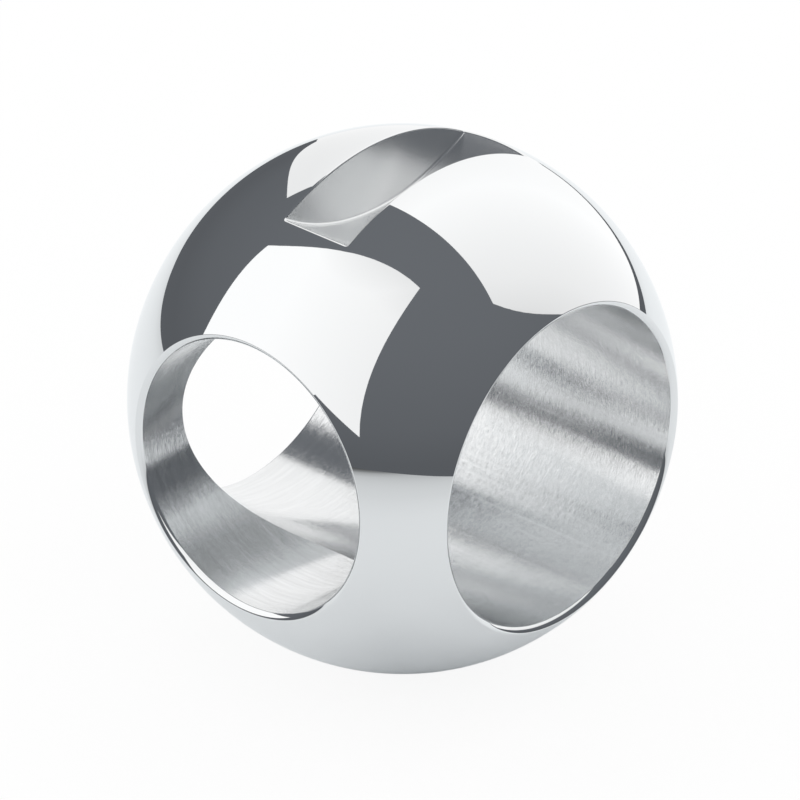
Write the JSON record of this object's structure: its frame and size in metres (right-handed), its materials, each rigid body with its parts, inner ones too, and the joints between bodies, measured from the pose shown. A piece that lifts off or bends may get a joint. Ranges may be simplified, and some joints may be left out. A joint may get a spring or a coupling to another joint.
{
  "type": "three-way valve ball",
  "caption": "Polished valve ball with a straight through bore, a smaller side port that joins it in a T, and an arc-bottomed stem slot across the top.",
  "frame": {"origin": "centre of the ball, where the axes of the through port, the side port and the stem meet", "axes": "+X along the through port, -Y out of the side port, +Z along the stem's axis, out of the slot"},
  "size_m": [0.0634, 0.0753, 0.0815],
  "materials": {
    "polished_steel": "mirror-polished sphere and port edges, fine-turned bores, milled slot"
  },
  "bodies": {
    "root": {"valve_ball": "polished_steel"}
  },
  "joints": []
}
